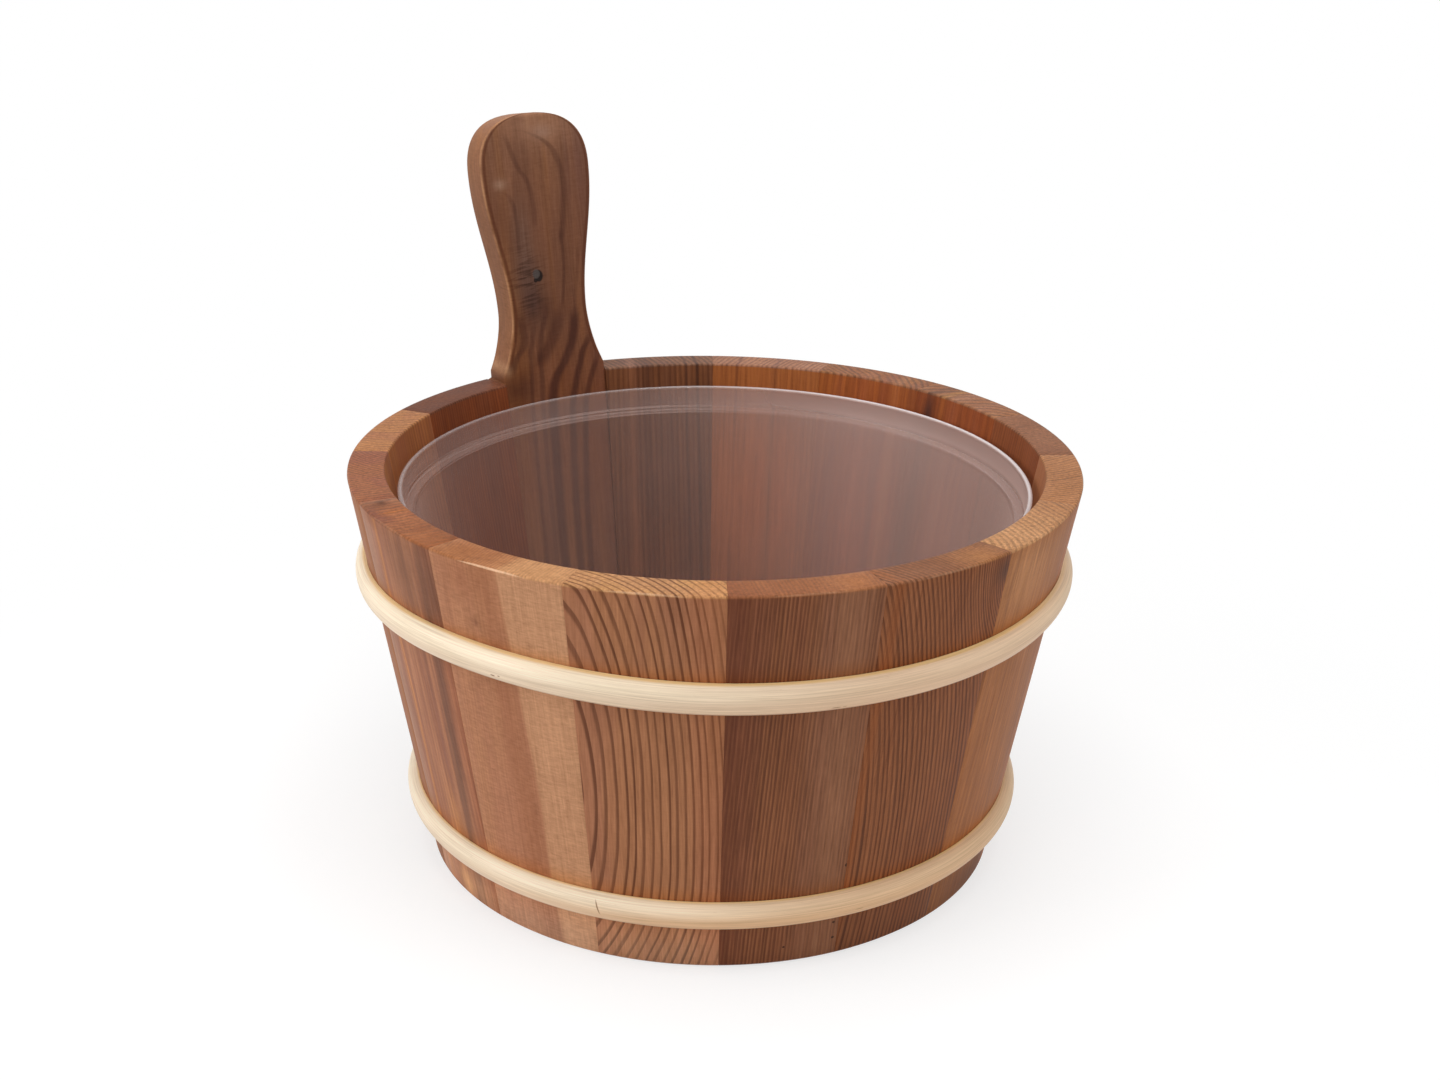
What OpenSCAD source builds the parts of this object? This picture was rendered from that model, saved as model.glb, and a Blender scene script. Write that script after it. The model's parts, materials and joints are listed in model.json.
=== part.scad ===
// Sauna pail: tapered staves, one of them drawn up into a paddle handle, a boarded bottom in a groove,
// two half-round cane hoops nailed at the back, and a loose plastic liner that stands on the bottom.
// Millimetres, +Z up. The origin lies on the floor at the pail's axis, and the handle is towards +Y.

/* [Staves] */
// Outer diameter at the rim
rim_d = 260; // [230:1:300]
// Outer diameter at the foot
foot_d = 210; // [190:1:250]
// Height of the staves
body_h = 145; // [120:1:190]
// Thickness of a stave, measured level
stave_t = 13; // [10:0.5:18]
// Radius of the rounding on the rim's outer edge
rim_round = 0.9; // [0.6:0.1:3]
// Radius of the rounding on the rim's inner edge
rim_inner_round = 0.7; // [0.4:0.1:2]
// Chamfer on both edges of the foot
foot_chamfer = 1; // [0.4:0.1:2.5]

/* [Handle] */
// Length of the handle above the rim, along its stave
handle_len = 104; // [80:0.5:140]
// Ledge left on the stave's end at each side of the handle
handle_ledge = 0.2; // [0:0.1:4]
// Height over which the handle's root keeps the width of its stave
root_rise = 3; // [1:0.5:8]
// Width of the grip at its narrowest
grip_w = 34; // [24:0.5:38]
// Height of the narrowest place above the rim
grip_pos = 27; // [18:0.5:36]
// Width of the paddle at its widest
paddle_w = 48.5; // [36:0.5:56]
// Height of the widest place above the rim
paddle_pos = 82; // [60:0.5:92]
// How far the handle's middle stands off its stave's middle, towards +X
handle_shift = 0.6; // [-2:0.1:2]
// Radius of the rounding on the handle's edges
handle_round = 1.2; // [0.8:0.1:4]

/* [Bottom] */
// Height of the bottom's underside above the floor
bottom_z = 14; // [8:0.5:24]
// Thickness of the bottom boards
bottom_t = 10; // [8:0.5:14]
// Thickness of the bottom's edge, which sits in the groove
tongue_t = 6; // [4:0.5:7]
// Depth of the groove in the staves
groove_depth = 4.5; // [3:0.25:6]
// Play of the bottom's edge in the groove
groove_play = 0.2; // [0.1:0.05:0.3]

/* [Hoops] */
// Height of the half-round cane
hoop_h = 11; // [8:0.5:15]
// How far the cane stands out from the staves
hoop_t = 4.8; // [3.5:0.1:7]
// Distance of the upper hoop's middle below the rim
upper_hoop_drop = 36.5; // [24:0.5:50]
// Height of the lower hoop's middle above the floor
lower_hoop_z = 23; // [16:0.5:40]
// Play between a hoop and the staves
hoop_play = 0.1; // [0.05:0.05:0.3]
// Length of the slanting joint where a hoop's ends meet
hoop_joint_len = 30; // [22:1:34]
// Width of the saw cut at that joint
hoop_joint_gap = 0.3; // [0.1:0.05:0.6]

/* [Brads] */
// Diameter of a brad's shank
brad_d = 1.4; // [1:0.1:1.8]
// Diameter of a brad's head
brad_head_d = 2.6; // [2.2:0.1:3.4]
// Thickness of a brad's head
brad_head_t = 0.6; // [0.4:0.1:0.9]
// How deep a brad goes into its stave
brad_grip = 8; // [5:0.5:9]
// Distance of a brad from the middle of the hoop's joint
brad_pos = 11; // [8:0.5:13]
// Play round a brad's shank and head
brad_play = 0.05; // [0.02:0.01:0.1]

/* [Liner] */
// Thickness of the liner's wall and floor
liner_t = 1.3; // [0.8:0.1:2.5]
// Distance of the liner's lip below the rim
liner_drop = 8; // [3:0.5:16]
// Diameter of the bead along the liner's lip
lip_d = 2.2; // [1.8:0.1:3]
// Height of the collar between the lip and the ledge
collar_h = 8.5; // [5:0.5:14]
// Space between the collar and the staves
collar_gap = 2.8; // [2.4:0.1:4]
// Space between the liner's wall and the staves
liner_gap = 6; // [4.5:0.1:10]
// Radius of the liner's lower edge
liner_round = 8; // [4:0.5:14]

/* [Hidden] */
$fn = 144;

// The ring has one node for each stave, and the bottom one for each board
stave_count = 16;
board_count = 3;
stave_angle = 360/stave_count;
// The joints between staves stand a little off an even spacing, because the staves differ in width
seam_shift = [0, 0, 0, 0, 1.5, 1, 1.5, 1.5, 1, 1, 1.5, 2.5, 2, 1.5, 1, 0.5];
handle_angle = 90;

// The staves lean out by the same slope inside and outside
slope = (rim_d - foot_d)/2/body_h;
lean = atan(slope);
function wall_out(z) = foot_d/2 + slope*z;
function wall_in(z) = wall_out(z) - stave_t;

// The handle's stave keeps a flat inner face, midway between the round wall and its chord
flat_share = (1 + cos(stave_angle/2))/2;
flat_y = wall_in(body_h)*flat_share;
root_half = flat_y*tan(stave_angle/2) - handle_ledge;

// Sizes of the bottom and its groove. Below the groove the boards stand clear of the staves.
shoulder_gap = 3;
bottom_bevel = 2;
bottom_top = bottom_z + bottom_t;
groove_z = bottom_top - tongue_t;
groove_r = wall_in(groove_z + tongue_t/2) + groove_depth;
bottom_r = groove_r - groove_play;
shoulder_r = wall_in(bottom_z)*flat_share - shoulder_gap;
board_w = 2*bottom_r/board_count;

// Heights of the hoops and the liner
upper_hoop_z = body_h - upper_hoop_drop;
hoop_heights = [upper_hoop_z, lower_hoop_z];
liner_top = body_h - liner_drop;
ledge_z = liner_top - collar_h;

// Colours of the staves, the handle's first
stave_colors = ["#7a4b2e", "#6f4128", "#8a5635", "#9a5f3c", "#7c4a38", "#a06c48", "#a8754e", "#7d4c33",
                "#8c5a3c", "#b57d52", "#b67b50", "#a96f45", "#9d6238", "#a66a3c", "#a4652f", "#6b4529"];

// Points of an arc about a centre
function arc(c, r, a0, a1, n = 6) =
    [for (i = [0:n]) let(a = a0 + (a1 - a0)*i/n) [c[0] + r*cos(a), c[1] + r*sin(a)]];

// Angle of the joint on the clockwise side of a stave, where stave 0 is the handle's
function seam_angle(i) = handle_angle + (i - 0.5)*stave_angle
    + (i < stave_count ? seam_shift[i] : seam_shift[0]);

// Section of a stave: chamfered foot, groove for the bottom and rounded rim.
// extra is wood left on the inside, and inner_round is the rounding of the rim's inner edge.
function stave_section(extra, inner_round) = concat(
    [[wall_in(0) - extra + foot_chamfer, 0], [wall_out(0) - foot_chamfer, 0],
     [wall_out(foot_chamfer), foot_chamfer]],
    arc([wall_out(body_h - rim_round) - rim_round/cos(lean), body_h - rim_round], rim_round, -lean, 90),
    inner_round > 0
        ? arc([wall_in(body_h - inner_round) + inner_round/cos(lean), body_h - inner_round],
              inner_round, 90, 180 - lean)
        : [[wall_in(body_h) - extra, body_h]],
    [[wall_in(bottom_top + groove_play) - extra, bottom_top + groove_play],
     [groove_r, bottom_top + groove_play], [groove_r, groove_z], [wall_in(groove_z) - extra, groove_z],
     [wall_in(foot_chamfer) - extra, foot_chamfer]]);

// A wedge of the ring from one joint to the next
module stave_wedge(i, extra = 0, inner_round = rim_inner_round)
    rotate([0, 0, seam_angle(i)])
        rotate_extrude(angle = seam_angle(i + 1) - seam_angle(i))
            polygon(stave_section(extra, inner_round));

module stave(i)
    color(stave_colors[i]) stave_wedge(i);

// How much of the root's flare is left at a height along the handle, from 1 to 0
function flare(s) = pow(min(1, max(0, (grip_pos - s)/(grip_pos - root_rise))), root_power);

// Half width of the handle at a height along it: a flare at the root, a slow swell up to the paddle
function handle_half(s) =
    s < grip_pos
        ? grip_w/2 + (root_half - grip_w/2)*flare(s)
        : grip_w/2 + (paddle_w - grip_w)/2*(1 - cos(180*(s - grip_pos)/(paddle_pos - grip_pos)))/2;

// Stations along the handle as [height, half width]. It starts inside its stave, a little narrower
// there, and its top is a quarter of a rounded square.
root_depth = 6;
root_power = 1.8;
top_power = 2/2.5;
top_end = 86;
flare_steps = 8;
swell_steps = 14;
top_steps = 12;
handle_stations = concat(
    [[-root_depth, root_half - 2], [-root_depth/2, root_half - 1], [0, root_half]],
    [for (i = [0:flare_steps]) let(s = root_rise + (grip_pos - root_rise)*i/flare_steps) [s, handle_half(s)]],
    [for (i = [1:swell_steps]) let(s = grip_pos + (paddle_pos - grip_pos)*i/swell_steps) [s, handle_half(s)]],
    [for (i = [1:top_steps]) let(q = top_end*i/top_steps)
        [paddle_pos + (handle_len - paddle_pos)*pow(sin(q), top_power), paddle_w/2*pow(cos(q), top_power)]]);

// Wood between the flat inner face and the round outer face, at a place on the handle.
// Each face is set a hair inside the stave's own, so that the two join without a skin between them.
root_inset = 0.15;
function handle_t(x, s) = let(r = wall_out(body_h + s*cos(lean)))
    (wall_out(body_h) - flat_y - (r - sqrt(r*r - x*x)))*cos(lean) - 2*root_inset;

// How far both faces draw in over the last few millimetres, which rounds the handle's top
function top_inset(s) = let(e = min(handle_len - s, handle_round))
    handle_round - sqrt(handle_round*handle_round - pow(handle_round - e, 2));

// One section through the handle, as [across, thickness] points round a rectangle with round corners.
// m is its middle, and its two back corners lie at different depths on the round outer face.
function handle_ring(s, w) =
    let(c = top_inset(s), r = min(handle_round, 0.8*w), x = w - r, m = handle_shift*(1 - flare(s)),
        far_right = handle_t(m + x, s) - c - r, far_left = handle_t(m - x, s) - c - r, near = c + r)
    concat(arc([m + x, near], r, -90, 0, 4), arc([m + x, far_right], r, 0, 90, 4),
           [for (i = [1:5]) let(u = m + x*(1 - i/3)) [u, handle_t(u, s) - c]],
           arc([m - x, far_left], r, 90, 180, 4), arc([m - x, near], r, 180, 270, 4));

// The handle above the rim: its sections joined into one skin
module handle_loft() {
    rings = [for (p = handle_stations) [for (q = handle_ring(p[0], p[1])) [q[0], q[1], p[0]]]];
    n = len(rings[0]);
    m = len(rings);
    points = [for (ring = rings) for (p = ring) p];
    sides = [for (j = [0:m - 2]) for (i = [0:n - 1])
        [j*n + i, (j + 1)*n + i, (j + 1)*n + (i + 1)%n, j*n + (i + 1)%n]];
    ends = [[for (i = [0:n - 1]) i], [for (i = [n - 1:-1:0]) (m - 1)*n + i]];
    translate([0, flat_y, body_h]) rotate([-lean, 0, 0]) translate([0, root_inset, 0])
        polyhedron(points, concat(sides, ends), convexity = 4);
}

// The flat inner face is cut across the wedge, parallel to the lean, from wood left on for it
flat_stock = 6;
module flat_face_cut()
    translate([0, flat_y, body_h]) rotate([-lean, 0, 0])
        translate([-rim_d/4, -rim_d/2, -2*body_h]) cube([rim_d/2, rim_d/2, 4*body_h]);

module handle_stave()
    color(stave_colors[0]) difference() {
        union() {
            difference() {
                stave_wedge(0, flat_stock, 0);
                flat_face_cut();
            }
            handle_loft();
        }
        brad_holes(0);
    }

// Section of the bottom: a bevelled underside and a thinner edge for the groove
function bottom_section() =
    [[0, bottom_z], [shoulder_r - bottom_bevel, bottom_z], [shoulder_r, bottom_z + bottom_bevel],
     [shoulder_r, groove_z], [bottom_r, groove_z], [bottom_r, bottom_top], [0, bottom_top]];

// One board of the bottom, counted from -X
module bottom_board(i)
    intersection() {
        rotate_extrude() polygon(bottom_section());
        translate([-bottom_r + i*board_w, -rim_d/2, 0]) cube([board_w, rim_d, body_h]);
    }

module bottom_board_left() color("#9c6b46") bottom_board(0);
module bottom_board_middle() color("#a5734c") bottom_board(1);
module bottom_board_right() color("#8f5f3d") bottom_board(2);

// Section of a hoop: half an ellipse with its flat back on the leaning wall
function hoop_section(z) =
    [for (i = [0:16]) let(q = -90 + 180*i/16, out = hoop_play + hoop_t*cos(q), up = hoop_h/2*sin(q))
        [wall_out(z) + out*cos(lean) + up*sin(lean), z - out*sin(lean) + up*cos(lean)]];

// A hoop with its ends cut on a slant where they meet, behind the handle
module hoop(z)
    difference() {
        rotate_extrude() polygon(hoop_section(z));
        translate([0, wall_out(z), z]) rotate([0, -atan(hoop_h/hoop_joint_len), 0])
            cube([2*hoop_joint_len, 4*hoop_t, hoop_joint_gap], center = true);
        brad_holes(brad_head_t);
    }

module upper_hoop() color("#efd9ab") hoop(upper_hoop_z);
module lower_hoop() color("#ecd3a0") hoop(lower_hoop_z);

// Children placed at each brad, with +Z pointing straight out of the leaning wall at its surface
module at_brads()
    for (z = hoop_heights) for (side = [-1, 1])
        rotate([0, 0, -side*asin(brad_pos/wall_out(z))])
            translate([0, wall_out(z), z]) rotate([-90 - lean, 0, 0]) children();

// A brad's seat: the head's underside lies this far out from the wall
brad_seat = hoop_play + hoop_t - brad_head_t;

// Shank holes, with a seat for the head where head_depth is above zero
module brad_holes(head_depth)
    at_brads() {
        translate([0, 0, -brad_grip - 0.5])
            cylinder(d = brad_d + 2*brad_play, h = brad_grip + brad_seat + 0.5 + 0.01, $fn = 32);
        if (head_depth > 0)
            translate([0, 0, brad_seat])
                cylinder(d = brad_head_d + 2*brad_play, h = 2*head_depth, $fn = 32);
    }

module brad() {
    tip = brad_d;
    translate([0, 0, brad_seat]) cylinder(d = brad_head_d, h = brad_head_t, $fn = 32);
    translate([0, 0, tip - brad_grip]) cylinder(d = brad_d, h = brad_grip - tip + brad_seat, $fn = 32);
    translate([0, 0, -brad_grip]) cylinder(d1 = brad_d/4, d2 = brad_d, h = tip, $fn = 32);
}

module hoop_brads() color("#b9b4a8") at_brads() brad();

// Outer radius of the liner's wall, and of its collar above the ledge
function liner_out(z) = wall_in(z) - liner_gap;
function collar_out(z) = wall_in(z) - collar_gap;

// Section of the liner: round lower edge, leaning wall, ledge, collar and a bead along the lip
module liner_section() {
    floor_z = bottom_top;
    c = [liner_out(floor_z + liner_round) - liner_round/cos(lean), floor_z + liner_round];
    r = liner_round - liner_t;
    lip = [collar_out(liner_top - lip_d/2) - liner_t/2, liner_top - lip_d/2];
    polygon(concat(
        [[0, floor_z]],
        arc(c, liner_round, -90, -lean, 8),
        [[liner_out(ledge_z - liner_t), ledge_z - liner_t], [collar_out(ledge_z - liner_t), ledge_z - liner_t],
         [collar_out(lip[1]), lip[1]], [collar_out(lip[1]) - liner_t, lip[1]],
         [collar_out(ledge_z) - liner_t, ledge_z], [liner_out(ledge_z) - liner_t, ledge_z]],
        arc(c, r, -lean, -90, 8),
        [[0, floor_z + liner_t]]));
    translate(lip) circle(d = lip_d, $fn = 32);
}

module plastic_liner() color("#d9d3d6") rotate_extrude() liner_section();

handle_stave();
stave(1);  // stave_01
stave(2);  // stave_02
stave(3);  // stave_03
stave(4);  // stave_04
stave(5);  // stave_05
stave(6);  // stave_06
stave(7);  // stave_07
stave(8);  // stave_08
stave(9);  // stave_09
stave(10);  // stave_10
stave(11);  // stave_11
stave(12);  // stave_12
stave(13);  // stave_13
stave(14);  // stave_14
stave(15);  // stave_15
bottom_board_left();
bottom_board_middle();
bottom_board_right();
upper_hoop();
lower_hoop();
hoop_brads();
plastic_liner();
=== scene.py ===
"""Dress of a coopered sauna pail: numpy surfaces with procedural wood, cane and plastic, round its frame.

Everything is in the row frame. Object coordinates are metres, and the board maths below is in millimetres.
"""

import json
import math
from dataclasses import dataclass

import bpy
import numpy as np
from mathutils import Matrix, Vector


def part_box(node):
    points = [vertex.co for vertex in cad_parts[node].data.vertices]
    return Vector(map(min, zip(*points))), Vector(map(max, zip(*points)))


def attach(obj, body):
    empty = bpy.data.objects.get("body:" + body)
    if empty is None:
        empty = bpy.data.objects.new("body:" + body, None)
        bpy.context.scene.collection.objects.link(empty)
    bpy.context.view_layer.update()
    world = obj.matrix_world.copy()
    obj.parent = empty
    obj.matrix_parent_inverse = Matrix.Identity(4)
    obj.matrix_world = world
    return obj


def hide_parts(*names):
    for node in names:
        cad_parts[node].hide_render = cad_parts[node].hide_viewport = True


bl_info = {
    "name": "Coopered Sauna Pail",
    "version": (1, 0, 0),
    "blender": (4, 5, 0),
    "location": "View3D > Sidebar > Pail",
    "description": "Dresses the packed frame of a staved pail with a handle, cane hoops and a plastic liner",
    "category": "Object",
}

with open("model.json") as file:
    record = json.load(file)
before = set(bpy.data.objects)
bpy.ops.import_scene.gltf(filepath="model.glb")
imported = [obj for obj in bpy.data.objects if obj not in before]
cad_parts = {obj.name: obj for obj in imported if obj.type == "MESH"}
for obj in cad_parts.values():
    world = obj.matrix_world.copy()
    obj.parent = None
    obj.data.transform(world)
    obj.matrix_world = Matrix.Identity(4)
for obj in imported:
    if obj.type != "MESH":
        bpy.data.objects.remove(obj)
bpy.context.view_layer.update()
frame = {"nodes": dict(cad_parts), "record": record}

MM = 0.001
STAVE_COUNT = 16
# How far each joint stands off an even spacing, in degrees, the handle's clockwise side first
SEAM_SHIFT = (0, 0, 0, 0, 1.5, 1, 1.5, 1.5, 1, 1, 1.5, 2.5, 2, 1.5, 1, 0.5)

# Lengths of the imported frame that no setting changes
FOOT_CHAMFER, RIM_ROUND, RIM_INNER_ROUND = 1.0 * MM, 0.9 * MM, 0.7 * MM
BOARD_EDGE = 6 * MM  # thickness of the bottom's edge, which sits in the staves' groove
GROOVE_PLAY, GROOVE_DEPTH = 0.2 * MM, 4.5 * MM
ROOT_RISE, GRIP_AT, PADDLE_AT = 3 * MM, 27 * MM, 82 * MM  # places up the handle from the rim
ROOT_INSET = 0.2 * MM  # how far each side of the handle stands in from its stave's joints
ROOT_ROUND, HANDLE_ROUND, FULL_ROUND_AT = 0.3 * MM, 1.2 * MM, 9 * MM  # its corners, and where they are full
HANDLE_SHIFT = 0.6 * MM  # how far the handle stands towards +X
UPPER_DROP, LOWER_AT = 36.5 * MM, 23 * MM  # the hoops' middles, from the rim and from the foot
LINER_DROP = 8 * MM  # from the rim to the top of the liner's lip


def seam_angle(i):
    """Direction of the joint clockwise of stave i, in degrees from +X. Stave 0 is the handle's."""
    return 90 + (i - 0.5) * 360 / STAVE_COUNT + SEAM_SHIFT[i % STAVE_COUNT]


def stave_turn(i):
    """Direction of the middle of stave i, in degrees."""
    return (seam_angle(i) + seam_angle(i + 1)) / 2


# Settings that a user would change


def length_setting(name, default, description):
    """A setting in metres."""
    return bpy.props.FloatProperty(name=name, description=description, default=default, unit="LENGTH")


def share_setting(name, default, description):
    """A setting from 0 to 2, where 1 is full or plain."""
    return bpy.props.FloatProperty(
        name=name, description=description, default=default, min=0, max=2, subtype="FACTOR"
    )


def color_setting(name, default, description):
    """A colour setting, in linear light."""
    return bpy.props.FloatVectorProperty(
        name=name, description=description, default=default, size=3, subtype="COLOR"
    )


def angle_setting(name, degrees, description):
    """An angle setting, whose default is given in degrees."""
    return bpy.props.FloatProperty(
        name=name, description=description, default=math.radians(degrees), subtype="ANGLE"
    )


def power_setting(name, watts, description):
    """A lamp's power."""
    return bpy.props.FloatProperty(name=name, description=description, default=watts, unit="POWER")


def top_of(node):
    """Height of a node's highest point, in metres."""
    return round(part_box(node)[1].z, 4)


class PailSizes(bpy.types.PropertyGroup):
    """Sizes of the pail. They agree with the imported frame."""

    rim_radius: length_setting("Rim radius", 0.130, "Outer radius at the rim")
    foot_radius: length_setting("Foot radius", 0.105, "Outer radius at the foot")
    height: length_setting("Height", top_of("stave_08"), "Height of the staves")
    stave_thickness: length_setting("Stave thickness", 0.013, "Measured level")
    bottom_top: length_setting("Bottom height", top_of("bottom_board_middle"), "Height of its upper face")
    handle_length: length_setting("Handle length", 0.104, "Handle above the rim, along its stave")
    grip_width: length_setting("Grip width", 0.034, "Width at the handle's narrowest place")
    paddle_width: length_setting("Paddle width", 0.0485, "Width at the handle's widest place")
    hoop_height: length_setting("Cane height", 0.011, "Height of the half-round cane")
    hoop_depth: length_setting("Cane depth", 0.0048, "How far the cane stands out")
    liner_wall: length_setting("Liner wall", 0.0013, "Thickness of the liner")


class PailFinish(bpy.types.PropertyGroup):
    """Finish of the wood, the cane and the liner."""

    ring_contrast: share_setting("Ring contrast", 1.0, "Strength of the growth lines")
    grain_relief: length_setting("Grain relief", 0.05 * MM, "Height of the grain's bump")
    cane_color: color_setting("Cane", (0.80, 0.54, 0.34), "Colour of the peeled cane")
    cane_warm_color: color_setting("Lower cane", (0.80, 0.50, 0.27), "Colour of the lower hoop's cane")
    cane_pale_color: color_setting("Pale cane", (0.84, 0.657, 0.466), "Colour of its palest stretch")
    # Painted light: the cane's upper side is made lighter with this colour, for the overhead lamp
    cane_lit_top_color: color_setting("Cane's top", (1.0, 0.84, 0.62), "Colour of its upper side")
    cane_edge_color: color_setting("Cane edge", (0.88, 0.58, 0.24), "Colour along the cane's edges")
    liner_color: color_setting("Liner", (0.68, 0.50, 0.45), "Colour of the liner's haze")
    lip_color: color_setting("Lip", (0.80, 0.73, 0.73), "Colour of the liner's lip")
    liner_haze: share_setting("Liner haze", 0.095, "How much of the view the liner's wall covers")
    brad_color: color_setting("Brads", (0.62, 0.60, 0.57), "Colour of the wire brads")


class PailStage(bpy.types.PropertyGroup):
    """Camera and studio."""

    lens: bpy.props.FloatProperty(name="Lens", description="Focal length in millimetres", default=49.11)
    view_azimuth: angle_setting("Azimuth", -34.28, "Direction of the view, from +Y")
    view_elevation: angle_setting("Elevation", 21.272, "Camera's angle above level")
    view_roll: angle_setting("Roll", 0.892, "Tilt of the picture")
    view_distance: length_setting("Distance", 0.7144, "From the camera to its target")
    target_height: length_setting("Target height", 0.1125, "Height of the camera's target")
    target_side: length_setting("Target side", 0.002, "Target's place to the right of the pail's axis")
    top_power: power_setting("Top lamp", 9.4, "Overhead softbox")
    left_power: power_setting("Left lamp", 5.0, "Left softbox")
    right_power: power_setting("Right lamp", 2.1, "Right softbox")
    front_power: power_setting("Front lamp", 1.0, "Front softbox")
    world_light: share_setting("Room light", 0.20, "Strength of the room's own light")


def sizes():
    return bpy.context.scene.pail_sizes


def finish():
    return bpy.context.scene.pail_finish


def stage():
    return bpy.context.scene.pail_stage


# Shader graphs written as expressions


class Value:
    """A number on a shader socket. Python's operators add Math nodes."""

    def __init__(self, graph, socket):
        self.graph = graph
        self.socket = socket

    def __add__(self, other):
        return self.graph.math("ADD", self, other)

    def __radd__(self, other):
        return self.graph.math("ADD", other, self)

    def __sub__(self, other):
        return self.graph.math("SUBTRACT", self, other)

    def __rsub__(self, other):
        return self.graph.math("SUBTRACT", other, self)

    def __mul__(self, other):
        return self.graph.math("MULTIPLY", self, other)

    def __rmul__(self, other):
        return self.graph.math("MULTIPLY", other, self)

    def __truediv__(self, other):
        return self.graph.math("DIVIDE", self, other)

    def __rtruediv__(self, other):
        return self.graph.math("DIVIDE", other, self)

    def __pow__(self, other):
        return self.graph.math("POWER", self, other)

    def __neg__(self):
        return self.graph.math("MULTIPLY", self, -1.0)

    def __abs__(self):
        return self.graph.math("ABSOLUTE", self)


class Graph:
    """The node tree of one new material, or of a new world."""

    def __init__(self, name, library=None):
        self.owner = (bpy.data.materials if library is None else library).new(name)
        self.owner.use_nodes = True
        self.tree = self.owner.node_tree
        self.tree.nodes.clear()

    def node(self, kind, settings=None, inputs=None, out=0):
        """Add any node: its settings first, then the values or links of its sockets. Returns one output."""
        node = self.tree.nodes.new(kind)
        for key, value in (settings or {}).items():
            if key == "stops":
                ramp = node.color_ramp
                while len(ramp.elements) < len(value):
                    ramp.elements.new(0.5)
                for element, (place, color) in zip(ramp.elements, value):
                    element.position = place
                    element.color = (*color, 1.0)
            elif key == "curve":
                points = node.mapping.curves[0].points
                while len(points) < len(value):
                    points.new(0.5, 0.5)
                for point, place in zip(points, value):
                    point.location = place
                node.mapping.update()
            else:
                setattr(node, key, value)
        for key, value in (inputs or {}).items():
            if isinstance(value, Value):
                self.tree.links.new(value.socket, node.inputs[key])
            elif len(np.shape(value)) == 1 and len(value) == 3 and node.inputs[key].type == "RGBA":
                node.inputs[key].default_value = (*value, 1.0)
            else:
                node.inputs[key].default_value = value
        return Value(self, node.outputs[out]) if len(node.outputs) else None

    def math(self, operation, *values):
        return self.node("ShaderNodeMath", {"operation": operation}, dict(enumerate(values)))

    def vector(self, x, y, z):
        return self.node("ShaderNodeCombineXYZ", None, {"X": x, "Y": y, "Z": z})

    def axes(self, point):
        """The three parts of a point given in metres, each in millimetres."""
        return [self.node("ShaderNodeSeparateXYZ", None, {0: point}, axis) * 1000.0 for axis in "XYZ"]

    def place(self):
        """The surface point's object coordinates, in millimetres."""
        return self.axes(self.node("ShaderNodeTexCoord", out="Object"))

    def mapped(self, name):
        """The surface point's place on a UV map, in millimetres."""
        return self.axes(self.node("ShaderNodeUVMap", {"uv_map": name}))[:2]

    def noise(self, x, y, z, detail=2.0, rough=0.5):
        """Soft noise from 0 to 1, about 0.5, whose lumps are about 1 across."""
        inputs = {"Vector": self.vector(x, y, z), "Scale": 1.0, "Detail": detail, "Roughness": rough}
        return self.node("ShaderNodeTexNoise", {"noise_dimensions": "3D"}, inputs, "Fac")

    def step(self, value, low, high):
        """0 below low, 1 above high, and a smooth step between. low may be above high."""
        return self.node(
            "ShaderNodeMapRange",
            {"interpolation_type": "SMOOTHSTEP"},
            {"Value": value, "From Min": low, "From Max": high, "To Min": 0.0, "To Max": 1.0},
        )

    def mix(self, factor, first, second, blend="MIX"):
        """Mix two colours."""
        node = self.tree.nodes.new("ShaderNodeMix")
        node.data_type = "RGBA"
        node.blend_type = blend
        for key, value in ((0, factor), (6, first), (7, second)):
            if isinstance(value, Value):
                self.tree.links.new(value.socket, node.inputs[key])
            else:
                node.inputs[key].default_value = value if key == 0 else (*value, 1.0)
        return Value(self, node.outputs[2])

    def tone(self, color, gain):
        """A colour times a number."""
        return self.mix(1.0, color, self.vector(gain, gain, gain), "MULTIPLY")

    def near(self, u, v, place, size):
        """1 at a place and 0 beyond its size across and along, falling as a bell."""
        du = (u - place[0]) / size[0]
        dv = (v - place[1]) / size[1]
        return self.math("EXPONENT", -(du * du + dv * dv))

    def route(self, along, places):
        """The place across, in millimetres, of a drawn line at a height. Its places run from the top down.

        A curve node holds places up to reach millimetres to either side of the board's middle.
        """
        high, low, reach = places[0][1], places[-1][1], 30.0
        curve = [((v - low) / (high - low), 0.5 + u / (2 * reach)) for u, v in reversed(places)]
        share = self.node("ShaderNodeFloatCurve", {"curve": curve}, {"Value": (along - low) / (high - low)})
        return (share - 0.5) * (2 * reach)

    def surface(self, **inputs):
        """Close the graph with a Principled shader. Keys are its socket names with _ for a space."""
        sockets = {key.replace("_", " "): value for key, value in inputs.items()}
        shader = self.node("ShaderNodeBsdfPrincipled", None, sockets)
        self.node("ShaderNodeOutputMaterial", None, {"Surface": shader})
        return self.owner

    def bump(self, height, distance):
        return self.node("ShaderNodeBump", None, {"Height": height, "Distance": distance}, "Normal")


def srgb(code):
    """A colour written as six hex digits, in linear light."""
    parts = np.array([int(code[i : i + 2], 16) for i in (0, 2, 4)]) / 255
    linear = np.where(parts <= 0.04045, parts / 12.92, ((parts + 0.055) / 1.055) ** 2.4)
    return tuple(linear.tolist())


# Wood


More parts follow.
